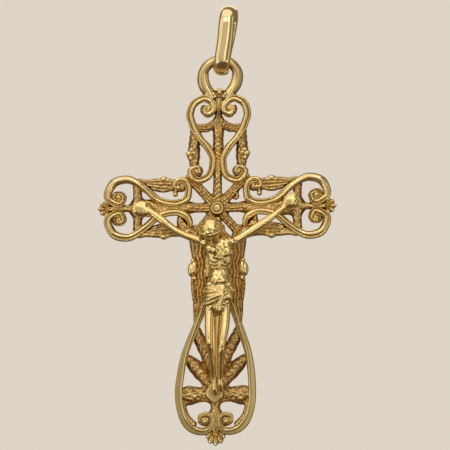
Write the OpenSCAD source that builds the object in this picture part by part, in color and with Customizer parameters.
// Crucifix pendant: a pierced gold cross of scrolls and leaves with a hanging ring, a riveted figure
// and a bail. The cross faces -Y and hangs along Z. The origin is the inside top of the bail, where a
// chain passes.

/* [Bail] */
// Width of the bail's oval wire, across the front
bail_w = 1.65; // [1.5:0.05:1.7]
// Thickness of the bail's wire, from its inside to its outside
bail_t = 1; // [0.8:0.05:1]
// Inside radius of the bail's two bends
bail_bend_r = 0.95; // [0.9:0.05:1.2]
// Length of the bail's straight legs
bail_leg = 3.5; // [2.5:0.1:5]
// Lean of the bail towards +X, in degrees
bail_lean = 7; // [0:1:10]
// Turn of the bail about its own length, in degrees
bail_turn = 5; // [0:1:8]

/* [Hanging ring] */
// Thickness of the ring's round wire
ring_wire = 1.05; // [0.9:0.05:1.1]
// Radius of the ring, to the middle of its wire
ring_r = 1.89; // [1.85:0.01:2]
// Height of the ring's centre above the rosette
ring_up = 13.65; // [13.5:0.05:13.8]
// Gap between the ring's wire and the bail's bend at rest
ring_gap = 0.12; // [0.1:0.01:0.2]

/* [Cross] */
// Height of the scrolls' ridges above the flat back
scroll_h = 1.3; // [1.2:0.05:1.5]
// Height of the leaves' midribs above the flat back
leaf_h = 0.9; // [0.8:0.05:0.95]
// Half the width of a scroll's band
scroll_w = 0.38; // [0.34:0.01:0.4]
// Diameter of the rosette
rosette_d = 1.3; // [1.2:0.05:1.5]
// Rise of the hand-made cross arms, in millimetres for each millimetre towards +X
arm_rise = 0.0155; // [0:0.0005:0.02]

/* [Figure] */
// Height of the figure's flat seats above the cross's back
seat_h = 1.03; // [1.02:0.01:1.1]
// Diameter of the three rivets
rivet_d = 0.3; // [0.25:0.01:0.35]

/* [Hidden] */

// A smooth route takes one step for each stretch that turns by no more than this, in degrees
STEP_TURN = 30;
// The cross's forms start this far below its back, which is then cut flat
UNDER = -0.3;
// Height and radius of the boss under each seat of the figure
BOSS_H = 1;
BOSS_R = 0.4;
// Clearance round each rivet, and the height and overhang of its head
RIVET_CLEAR = 0.03;
RIVET_HEAD = 0.12;
RIVET_RIM = 0.07;
// Height of the palms' flat under the rivets' heads, and the clearance round and under each head
HEAD_SEAT = 1.52;
HEAD_CLEAR = 0.03;
HEAD_GAP = 0.02;
// Height of the ring's wire above the cross's flat back
RING_LIFT = 0.095;

// The bail hangs from its inside top, and the ring's wire lies in its lower bend
wire_down = 2 * bail_bend_r + bail_leg - ring_gap - ring_wire / 2;
ring_down = wire_down + ring_r;
ring_at = [-ring_down * sin(bail_lean), -ring_down * cos(bail_lean)];
// Height of the ring's middle plane above the flat back
mid_h = RING_LIFT + ring_wire / 2;

// How far the axis of the hand-made cross wanders to the side at each height
AXIS = [[-25, -0.15], [-19, -0.15], [-11, 0.13], [-5, 0.12], [0, 0.03], [4, 0.09], [10, 0.18], [14, 0.36]];
function place(p) = [p[0] + lookup(p[1], AXIS), p[1] + arm_rise * p[0], p[2]];
rosette_at = ring_at - [lookup(ring_up, AXIS), ring_up];

// Height of the arms' axis above the rosette
ARM_AXIS = 0.09;

// A spiral about an eye: a quarter turn, and one pair of radius and half width, for each point
function curl(eye, start, quarter, radii, widths) =
    [for (k = [0:len(radii) - 1])
        let (a = start + k * quarter)
        [eye[0] + radii[k] * cos(a), eye[1] + radii[k] * sin(a), widths[k]]];
function reversed(c) = [for (i = [len(c) - 1:-1:0]) c[i]];
function mirrored(c) = [for (p = c) [-p[0], p[1], p[2]]];
function above_arm(c) = [for (p = c) [p[0], ARM_AXIS + p[1], p[2]]];
function below_arm(c) = [for (p = c) [p[0], ARM_AXIS - p[1], p[2]]];

// Routes of the scrolls on the +X side, from the rosette: [across, up, half width]
HEART_TOP = curl([1.18, 10.36], 180, 90, [0.66, 0.6, 0.44, 0.3], [0.36, 0.33, 0.28, 0.2]);
HEART_SIDE = [
    [0.72, 11.1, scroll_w], [1.58, 11.56, scroll_w], [2.61, 11, scroll_w], [3, 9.9, scroll_w],
    [2.78, 9.05, scroll_w], [2.5, 8.25, scroll_w], [1.88, 7.3, scroll_w], [1.12, 6.4, scroll_w],
    [0.58, 5.4, 0.34], [0.54, 4.65, 0.34], [0.7, 3.8, 0.34], [1.2, 3.17, 0.34]];
HEART_LOW = curl([2.2, 3.87], 270, 90, [0.92, 0.63, 0.38, 0.28], [scroll_w, 0.33, 0.25, 0.2]);
HEART = concat(reversed(HEART_TOP), HEART_SIDE, HEART_LOW);

ARM_INNER = curl([3.84, 2.11], 180, -90, [0.78, 0.72, 0.46, 0.3], [0.37, 0.35, 0.28, 0.22]);
ARM_SIDE = [
    [3.23, 0.88, scroll_w], [4.53, 0.46, scroll_w], [6.13, 0.82, scroll_w], [7.54, 1.99, 0.36],
    [8.8, 2.83, 0.36], [9.8, 3.06, scroll_w], [10.97, 2.61, scroll_w]];
ARM_OUTER = curl([10.35, 1.19], 0, -90, [1.2, 0.92, 0.62, 0.5, 0.36], [0.36, 0.33, 0.3, 0.26, 0.22]);
ARM_HOOK = [[2.8, 1.95, 0.2], [2.9, 1.45, 0.32]];
ARM_UPPER = above_arm(concat(reversed(ARM_INNER), ARM_SIDE, ARM_OUTER));
ARM_LOWER = below_arm(concat(ARM_HOOK, ARM_SIDE, ARM_OUTER));

FOOT_SIDE = [
    [1.3, -9.9, 0.3], [1.65, -10.8, 0.36], [2.45, -12.85, scroll_w], [3.3, -15.2, scroll_w],
    [3.75, -17.7, 0.4], [3.85, -20, 0.4], [3.4, -22, 0.42], [2.6, -23.15, 0.42]];
FOOT_CURL = curl([1.11, -22.47], 270, -90, [1.13, 0.7, 0.62, 0.5, 0.33], [0.42, 0.35, 0.32, 0.28, 0.22]);
FOOT = concat(FOOT_SIDE, FOOT_CURL);

// Profiles across a bar, from one side to the other: [part of the half width, height above the back]
DOUBLE_RIDGE = [
    [-1, UNDER], [-1, 0.8], [-0.6, scroll_h], [0, scroll_h - 0.2], [0.6, scroll_h], [1, 0.8], [1, UNDER]];
LEAF = [[-1, UNDER], [-1, 0.6], [0, leaf_h], [1, 0.6], [1, UNDER]];
STEM = [[-1, UNDER], [-1, 0.62], [0, leaf_h + 0.03], [1, 0.62], [1, UNDER]];
SPOKE = [[-1, UNDER], [-1, 0.55], [-0.35, leaf_h - 0.04], [0.35, leaf_h - 0.04], [1, 0.55], [1, UNDER]];
TIE = [[-1, UNDER], [-1, 0.5], [0, 0.65], [1, 0.5], [1, UNDER]];
RIBBED_LEAF = [
    [-1, UNDER], [-1, 0.55], [-0.66, leaf_h], [-0.33, 0.65], [0, leaf_h],
    [0.33, 0.65], [0.66, leaf_h], [1, 0.55], [1, UNDER]];
// The foot scroll's single crest crosses from its outer edge to its inner edge
function crest(t) =
    let (c = -0.55 + 1.1 * min(1, 2.5 * t))
    [[-1, UNDER], [-1, 0.75], [c, scroll_h], [1, 0.75], [1, UNDER]];

// Routes of the leaves on the +X side: [across, up, half width]
SIDE_LEAF = [[0.4, 8.65, 0.5], [1.4, 8.35, 0.46], [2.05, 8.4, 0.42], [2.5, 8.6, 0.3]];
SIDE_BAR = [[2.6, 8, 0.34], [2.52, 6.95, 0.48], [2.5, 5.9, 0.6], [2.5, 4.8, 0.45], [2.45, 3.9, 0.4]];
SPOKES = [
    [[0.12, 0.14, 0.4], [2.9, 3.15, 0.42]],
    [[0.15, 0.02, 0.42], [3.3, ARM_AXIS, 0.44]],
    [[0.1, -0.13, 0.39], [2.3, -2.7, 0.41]]];
ARM_STEM = [
    [3.1, ARM_AXIS, 0.45], [4.6, ARM_AXIS, 0.5], [5.8, ARM_AXIS, 0.6], [6.8, ARM_AXIS, 0.85],
    [7.6, ARM_AXIS, 0.85], [8.3, ARM_AXIS, 0.65], [8.9, ARM_AXIS, 0.32], [9.8, ARM_AXIS, 0.26],
    [11.3, ARM_AXIS, 0.3]];
CROSS_LEAF = [[8.3, 2.5, 0.5], [8.35, 1.2, 0.38], [8.4, 0.6, 0.55], [8.4, 0, 0.6]];
EDGE_LEAF = [[8, 2.75, 0.2], [7, 2.5, 0.42], [6, 2.52, 0.52], [5.1, 2.5, 0.42], [4.5, 2.3, 0.35]];
HOOK_LEAF = [[3.85, 1.2, 0.3], [3.5, 1.85, 0.55], [3, 2.7, 0.5]];
SHOULDER_LEAF = [[4.6, 2.35, 0.35], [3.6, 2.6, 0.4], [2.4, 2.7, 0.5]];
COLUMN = [
    [2.3, -2.3, 0.5], [2.2, -3.1, 0.75], [2.05, -3.9, 0.85], [1.92, -5.25, 0.77], [1.86, -6.9, 0.72],
    [1.9, -8.6, 0.72], [1.98, -10.4, 0.6], [2.2, -11.8, 0.3]];
FOOT_LEAVES = [
    [[2.1, -12.7, 0.35], [1.4, -14.6, 0.5], [0.4, -16.6, 0.5]],
    [[3.3, -15.6, 0.45], [1.95, -17.15, 0.68], [0.4, -18.7, 0.6]],
    [[3.5, -19.45, 0.95], [2.4, -19.55, 0.68], [1.6, -19.5, 0.5], [0.2, -19.5, 0.6]]];

// Two plain bars behind the figure tie each column to the middle stem
TIES = [for (up = [-4.4, -10.2]) [[-1.9, up, 0.5], [1.9, up, 0.5]]];

// Routes of the leaves on the axis
TOP_STEM = [
    [0, 12, 0.24], [0, 9.9, 0.26], [0, 9.25, 0.55], [0, 8.5, 0.5], [0, 6.4, 0.54], [0, 5.7, 0.38],
    [0, 4.2, 0.32], [0, 3.1, 0.38], [0, 0.1, 0.4]];
LOW_STEM = [
    [0, -0.08, 0.42], [0, -3, 0.45], [0, -12, 0.42], [0, -16, 0.5], [0, -18.5, 0.6], [0, -20.4, 0.5],
    [0, -21.3, 0.55], [0, -21.9, 0.85], [0, -22.5, 0.6], [0, -23.7, 0.5]];

// Knobs on the outline, on the +X side: [across, up, radius, stretch along Z]
KNOBS = [[3.12, 5.7, 0.32, 1], [5.72, 3.12, 0.34, 1], [5.72, -2.94, 0.34, 1], [2.78, -6.6, 0.42, 1.7]];

// Where the scrolls' curls end
function last_of(c) = c[len(c) - 1];
EYES = [HEART[0], ARM_UPPER[0], last_of(HEART), last_of(ARM_UPPER), last_of(ARM_LOWER), last_of(FOOT)];

// Rivets and their seats: [across, up] from the rosette
LEFT_PALM = [-7.5, -0.12];
RIGHT_PALM = [7.68, 0.62];
FOOT_REST = [-0.25, -19.75];

// Sections of the figure, seen from the front: [across, up, height above the back, half width, half depth]
TORSO = [
    [0.05, -2.95, 2.05, 0.7, 0.4], [0.1, -3.3, 2.05, 1.45, 0.6], [0.17, -3.75, 2.1, 1.72, 0.75],
    [0.25, -4.4, 2.15, 1.55, 0.85], [0.35, -5.25, 2.15, 1.4, 0.85], [0.33, -6.1, 2.02, 1.22, 0.75],
    [0.27, -7.05, 1.95, 1.15, 0.7], [0.17, -7.9, 2, 1.3, 0.78], [0.12, -8.7, 2, 1.4, 0.85]];
LEFT_ARM = [
    [-1.1, -3.65, 2.1, 0.45, 0.45], [-1.75, -3.42, 2.05, 0.44, 0.46], [-2.6, -3.12, 2, 0.36, 0.42],
    [-3.45, -2.8, 1.95, 0.33, 0.38], [-4.2, -2.42, 1.9, 0.3, 0.34], [-4.9, -1.93, 1.85, 0.33, 0.36],
    [-5.65, -1.28, 1.78, 0.3, 0.33], [-6.3, -0.68, 1.65, 0.25, 0.26], [-6.78, -0.22, 1.5, 0.22, 0.22],
    [-7.1, -0.12, 1.42, 0.3, 0.2]];
LEFT_HAND = [
    [-6.9, -0.15, 1.45, 0.2, 0.2], [-7.1, -0.12, 1.42, 0.35, 0.22], [-7.55, -0.06, 1.36, 0.6, 0.25],
    [-8.05, -0.1, 1.33, 0.8, 0.28], [-8.5, -0.12, 1.32, 0.68, 0.25], [-8.78, -0.14, 1.3, 0.35, 0.15]];
RIGHT_ARM = [
    [1.2, -3.75, 2.1, 0.45, 0.45], [1.8, -3.45, 2.05, 0.46, 0.46], [2.65, -2.98, 2, 0.37, 0.42],
    [3.5, -2.45, 1.95, 0.37, 0.4], [4.4, -1.85, 1.9, 0.36, 0.38], [5.35, -1.2, 1.82, 0.34, 0.35],
    [6.2, -0.58, 1.7, 0.28, 0.3], [6.82, -0.06, 1.52, 0.22, 0.22], [7.25, 0.36, 1.42, 0.35, 0.22]];
RIGHT_HAND = [
    [6.95, 0.06, 1.48, 0.2, 0.2], [7.25, 0.36, 1.42, 0.4, 0.24], [7.68, 0.76, 1.36, 0.6, 0.28],
    [8.08, 1.05, 1.33, 0.58, 0.27], [8.48, 1.25, 1.3, 0.3, 0.15]];
LEFT_LEG = [
    [-0.72, -9.2, 2.05, 0.6, 0.65], [-0.88, -10.8, 2.35, 0.5, 0.55], [-0.9, -12.3, 2.7, 0.45, 0.5],
    [-0.85, -13.65, 3, 0.42, 0.44], [-0.8, -14.35, 3, 0.4, 0.4], [-0.67, -15.1, 2.75, 0.34, 0.38],
    [-0.5, -16.4, 2.3, 0.33, 0.36], [-0.36, -17.55, 2, 0.28, 0.3], [-0.25, -18.3, 1.85, 0.24, 0.26]];
RIGHT_LEG = [
    [0.85, -9.2, 2.05, 0.6, 0.65], [0.92, -10.8, 2.35, 0.48, 0.55], [0.85, -12.3, 2.75, 0.45, 0.5],
    [0.64, -13.65, 3.05, 0.4, 0.44], [0.5, -14.6, 3.12, 0.4, 0.4], [0.43, -15.45, 2.85, 0.34, 0.38],
    [0.38, -16.6, 2.5, 0.3, 0.35], [0.3, -17.65, 2.25, 0.25, 0.28]];
LEFT_FOOT = [
    [-0.25, -18.1, 1.85, 0.24, 0.28], [-0.2, -18.9, 1.8, 0.26, 0.22], [-0.12, -19.5, 1.7, 0.22, 0.14]];
RIGHT_FOOT = [[0.3, -17.5, 2.25, 0.24, 0.3], [0.4, -18.5, 2.1, 0.27, 0.24], [0.48, -19.25, 1.95, 0.24, 0.15]];
HEAD = [
    [-0.75, -0.98, 3.05, 0.45, 0.5], [-0.72, -1.3, 3.05, 0.8, 0.85], [-0.65, -1.9, 3.05, 1, 1.05],
    [-0.55, -2.5, 3.05, 0.98, 1.05], [-0.42, -3.1, 3.1, 0.82, 0.9], [-0.28, -3.7, 3.15, 0.62, 0.68],
    [-0.2, -4.3, 3.2, 0.4, 0.4], [-0.12, -4.75, 3.2, 0.2, 0.2]];
HAIR = [
    [-0.3, -1.15, 2.9, 0.5, 0.6], [0.1, -1.7, 2.8, 0.75, 0.8], [0.38, -2.5, 2.7, 0.62, 0.75],
    [0.48, -3.3, 2.65, 0.5, 0.6], [0.55, -4, 2.7, 0.3, 0.4]];
NECK = [[-0.35, -2.6, 2.7, 0.55, 0.5], [-0.1, -3.4, 2.3, 0.6, 0.5]];
CLOTH = [
    [0.12, -8.35, 2, 1.46, 0.92], [0.14, -9.05, 2, 1.56, 1.02], [0.06, -9.65, 2.05, 1.56, 1.08],
    [0, -10.25, 2.1, 1.45, 1.02]];
CLOTH_END = [
    [1.15, -8.75, 2.95, 0.3, 0.3], [0.6, -9.4, 3.1, 0.36, 0.26], [0.15, -10.1, 3.1, 0.36, 0.22],
    [0.05, -10.75, 3.05, 0.22, 0.12]];
// Foot rest: its outline from its own middle, its rise above the seat and its bevel
FOOT_REST_SHAPE = [[0, 1.65], [0.9, 0.6], [0.75, -0.05], [0, -0.55], [-0.75, -0.05], [-0.9, 0.6]];
FOOT_REST_H = 0.55;
FOOT_REST_BEVEL = 0.15;
// Depth of the blind hole for the foot rest's pin, above the seat
FOOT_PIN_DEEP = 0.35;

// A smooth curve through its points. Each point may carry more values, such as a half width
function smooth_at(c, i, t) =
    let (b = c[i],
         d = c[i + 1],
         a = i > 0 ? c[i - 1] : 2 * b - d,
         e = i + 2 < len(c) ? c[i + 2] : 2 * d - b)
    0.5 * (2 * b + (d - a) * t + (2 * a - 5 * b + 4 * d - e) * t * t + (3 * b - a - 3 * d + e) * t * t * t);
function way(a, b) = [b[0] - a[0], b[1] - a[1]] / norm([b[0] - a[0], b[1] - a[1]]);
function turn_at(c, i) =
    i < 1 || i > len(c) - 2 ? 0 : acos(min(1, way(c[i - 1], c[i]) * way(c[i], c[i + 1])));
function steps_on(c, i) = max(1, ceil(max(turn_at(c, i), turn_at(c, i + 1)) / STEP_TURN - 0.1));
function smooth(c) =
    [for (i = [0:len(c) - 2]) let (steps = steps_on(c, i)) for (k = [0:steps - 1]) smooth_at(c, i, k / steps),
     c[len(c) - 1]];

// Outline of a bar at one point of its route, square to the route, to the nearest thousandth
function snap(p) = [for (x = p) round(1000 * x) / 1000];
function section(route, i, profile) =
    let (a = route[max(i - 1, 0)],
         b = route[min(i + 1, len(route) - 1)],
         along = way(a, b),
         w = route[i][2])
    [for (q = profile) snap([route[i][0] + along[1] * w * q[0], route[i][1] - along[0] * w * q[0], q[1]])];

// Faces of a skin over rings of n points each, closed at both ends
function skin_faces(rings, n) = concat(
    [[for (k = [0:n - 1]) k]],
    [[for (k = [n - 1:-1:0]) (rings - 1) * n + k]],
    [for (i = [0:rings - 2]) for (k = [0:n - 1])
        let (a = i * n + k, b = i * n + (k + 1) % n)
        each [[a, a + n, b], [b, a + n, b + n]]]);

// A bar that follows a route on the flat back
module bar(points, profile) {
    route = [for (p = smooth(points)) place(p)];
    last = len(route) - 1;
    rings = [for (i = [0:last]) section(route, i, profile(i / last))];
    polyhedron([for (ring = rings) each ring], skin_faces(last + 1, len(rings[0])));
}

module pair_of_bars(points, profile) {
    bar(points, profile);
    mirror_profile = function(t) reversed([for (q = profile(t)) [-q[0], q[1]]]);
    bar(mirrored(points), mirror_profile);
}

// A bead on the outline, round on top
module knob(p, side) {
    at = place([side * p[0], p[1], UNDER]);
    translate(at) scale([1, p[3], 1]) hull() {
        cylinder(h = 0.8 - UNDER, r = p[2], $fn = 10);
        cylinder(h = 1.05 - UNDER, r = 0.75 * p[2], $fn = 10);
        cylinder(h = scroll_h - 0.15 - UNDER, r = 0.35 * p[2], $fn = 10);
    }
}

// The bead that ends a scroll at the eye of its curl
module eye(p, side) {
    translate(place([side * p[0], p[1], UNDER])) cylinder(h = scroll_h - 0.1 - UNDER, r1 = 0.3, r2 = 0.18, $fn = 6);
}

// A fan of lobes that spread from one root, each a little lower than the last
module palmette(root, facing, lobes, spread, reach, lobe_r) {
    for (k = [0:lobes - 1]) {
        turn = facing + spread * (k / (lobes - 1) - 0.5);
        length = reach * (0.72 + 0.28 * cos(turn - facing));
        high = leaf_h - UNDER - 0.02 * (k + 1.5);
        translate(place([root[0], root[1], UNDER])) rotate(turn) hull() {
            cylinder(h = high, r = 0.14, $fn = 4);
            translate([length - lobe_r, 0, 0]) cylinder(h = high - 0.1, r1 = lobe_r, r2 = 0.7 * lobe_r, $fn = 6);
        }
    }
}

module rosette() {
    r = rosette_d / 2;
    translate(place([0, 0, 0])) rotate_extrude($fn = 24)
        polygon([[0, UNDER], [r, UNDER], [r, 1.2], [0.88 * r, 1.32], [0.72 * r, 1.22], [0.45 * r, 1.38], [0, 1.45]]);
}

module hanging_ring() {
    translate(place([0, ring_up, mid_h])) rotate_extrude($fn = 40)
        translate([ring_r, 0]) circle(ring_wire / 2, $fn = 12);
}

// Upright in the cross's own place: across, up and towards the viewer become X, Z and -Y
module in_place() {
    translate([rosette_at[0], mid_h, rosette_at[1]]) rotate([90, 0, 0]) children();
}

module rivet_bore(at, low, high) {
    translate([at[0], at[1], low]) cylinder(h = high - low, d = rivet_d + 2 * RIVET_CLEAR, $fn = 24);
}

module cross() {
    color("goldenrod") in_place() difference() {
        union() {
            hanging_ring();
            pair_of_bars(HEART, function(t) DOUBLE_RIDGE);
            pair_of_bars(ARM_UPPER, function(t) DOUBLE_RIDGE);
            pair_of_bars(ARM_LOWER, function(t) DOUBLE_RIDGE);
            pair_of_bars(FOOT, function(t) crest(t));
            leaves();
            rosette();
            for (p = KNOBS, side = [-1, 1])
                knob(p, side);
            for (p = EYES, side = [-1, 1])
                eye(p, side);
            palmette([0, 11.7], 90, 3, 130, 1, 0.27);
            palmette([0, -23.45], -90, 5, 130, 1.5, 0.27);
            palmette([11.4, ARM_AXIS], 0, 5, 150, 1.1, 0.21);
            palmette([-11.4, ARM_AXIS], 180, 5, 150, 1.1, 0.21);
            for (at = [LEFT_PALM, RIGHT_PALM, FOOT_REST])
                translate([at[0], at[1], UNDER]) cylinder(h = BOSS_H - UNDER, r = BOSS_R, $fn = 12);
        }
        translate([-15, -25, UNDER - 1]) cube([30, 42, 1 - UNDER]);
        for (at = [LEFT_PALM, RIGHT_PALM, FOOT_REST])
            rivet_bore(at, -1, BOSS_H + 1);
    }
}

module leaves() {
    plain = function(t) LEAF;
    for (points = [TOP_STEM, LOW_STEM, ARM_STEM, mirrored(ARM_STEM)])
        bar(points, function(t) STEM);
    for (points = [SIDE_LEAF, SIDE_BAR, CROSS_LEAF, below_arm(CROSS_LEAF), above_arm(EDGE_LEAF),
                   below_arm(EDGE_LEAF), below_arm(HOOK_LEAF), below_arm(SHOULDER_LEAF)])
        pair_of_bars(points, plain);
    for (points = FOOT_LEAVES)
        pair_of_bars(points, plain);
    for (points = SPOKES)
        pair_of_bars(points, function(t) SPOKE);
    for (points = TIES)
        bar(points, function(t) TIE);
    pair_of_bars(COLUMN, function(t) RIBBED_LEAF);
}

// A limb through its sections, each an ellipse square to the limb's route, with n corners. The fold
// pleats it
module limb(rows, n, fold = 0) {
    last = len(rows) - 1;
    points = [for (i = [0:last])
        let (a = rows[max(i - 1, 0)],
             b = rows[min(i + 1, last)],
             way = [b[0] - a[0], b[1] - a[1], b[2] - a[2]],
             along = way / norm(way),
             side = cross([0, 0, 1], along) / norm(cross([0, 0, 1], along)),
             deep = cross(along, side))
        for (k = [0:n - 1])
            let (turn = 360 * k / n,
                 swell = 1 + fold * (k % 2))
            [rows[i][0], rows[i][1], rows[i][2]]
                + swell * (rows[i][3] * cos(turn) * side + rows[i][4] * sin(turn) * deep)];
    polyhedron(points, skin_faces(last + 1, n));
}

// A rounded form with no hollow in its outline, such as a head, a hand or a foot
module round_form(rows, n) {
    hull() limb(rows, n);
}

module foot_rest() {
    translate([FOOT_REST[0], FOOT_REST[1], 0]) hull() {
        linear_extrude(seat_h + FOOT_REST_H - FOOT_REST_BEVEL) polygon(FOOT_REST_SHAPE);
        linear_extrude(seat_h + FOOT_REST_H) offset(delta = -FOOT_REST_BEVEL) polygon(FOOT_REST_SHAPE);
    }
}

module corpus() {
    color("khaki") in_place() difference() {
        union() {
            limb(TORSO, 16);
            limb(CLOTH, 28, 0.05);
            for (rows = [LEFT_ARM, RIGHT_ARM, LEFT_LEG, RIGHT_LEG])
                limb(rows, 10);
            for (rows = [LEFT_HAND, RIGHT_HAND, LEFT_FOOT, RIGHT_FOOT])
                round_form(rows, 10);
            for (rows = [HEAD, HAIR, NECK, CLOTH_END])
                round_form(rows, 12);
            foot_rest();
        }
        translate([-15, -25, seat_h - 5]) cube([30, 30, 5]);
        for (at = [LEFT_PALM, RIGHT_PALM]) {
            rivet_bore(at, 0, 3);
            translate([at[0], at[1], HEAD_SEAT])
                cylinder(h = 3, r = rivet_d / 2 + RIVET_RIM + HEAD_CLEAR, $fn = 24);
        }
        rivet_bore(FOOT_REST, 0, seat_h + FOOT_PIN_DEEP + RIVET_CLEAR + HEAD_GAP);
    }
}

// A pin with one low round head, which stands on the head's flat side
module rivet(length) {
    head_r = rivet_d / 2 + RIVET_RIM;
    rotate_extrude($fn = 32) polygon([
        [0, 0], [rivet_d / 2, 0], [rivet_d / 2, length], [head_r, length],
        [head_r, length + 0.3 * RIVET_HEAD], [0.6 * head_r, length + RIVET_HEAD], [0, length + RIVET_HEAD]]);
}

module palm_rivet(at) {
    color("gold") in_place() translate([at[0], at[1], 0]) rivet(HEAD_SEAT + HEAD_GAP);
}

// The foot rest's pin, with its head under the cross's back
module foot_pin() {
    length = seat_h + FOOT_PIN_DEEP + HEAD_GAP;
    color("gold") in_place() translate([FOOT_REST[0], FOOT_REST[1], length - HEAD_GAP])
        rotate([180, 0, 0]) rivet(length);
}

// Outline across the bail's wire: flat inside and outside, with round edges
module wire_outline() {
    flat = bail_w - bail_t;
    square([bail_t, flat], center = true);
    for (side = [-1, 1])
        translate([0, side * flat / 2]) circle(bail_t / 2, $fn = 48);
}

// One half-round bend of the bail, above its centre
module bail_bend() {
    rotate([0, 0, -90]) rotate([90, 0, 0]) rotate_extrude(angle = 180, $fn = 96)
        translate([bail_bend_r + bail_t / 2, 0]) wire_outline();
}

module bail() {
    color("gold") rotate([0, bail_lean, 0]) rotate([0, 0, -bail_turn]) translate([0, 0, -bail_bend_r]) {
        bail_bend();
        translate([0, 0, -bail_leg]) rotate([180, 0, 0]) bail_bend();
        for (side = [-1, 1])
            translate([0, side * (bail_bend_r + bail_t / 2), -bail_leg]) linear_extrude(bail_leg)
                rotate(90) wire_outline();
    }
}

bail();
cross();
corpus();
palm_rivet(LEFT_PALM);  // hand_rivet_left
palm_rivet(RIGHT_PALM);  // hand_rivet_right
foot_pin();  // foot_rivet
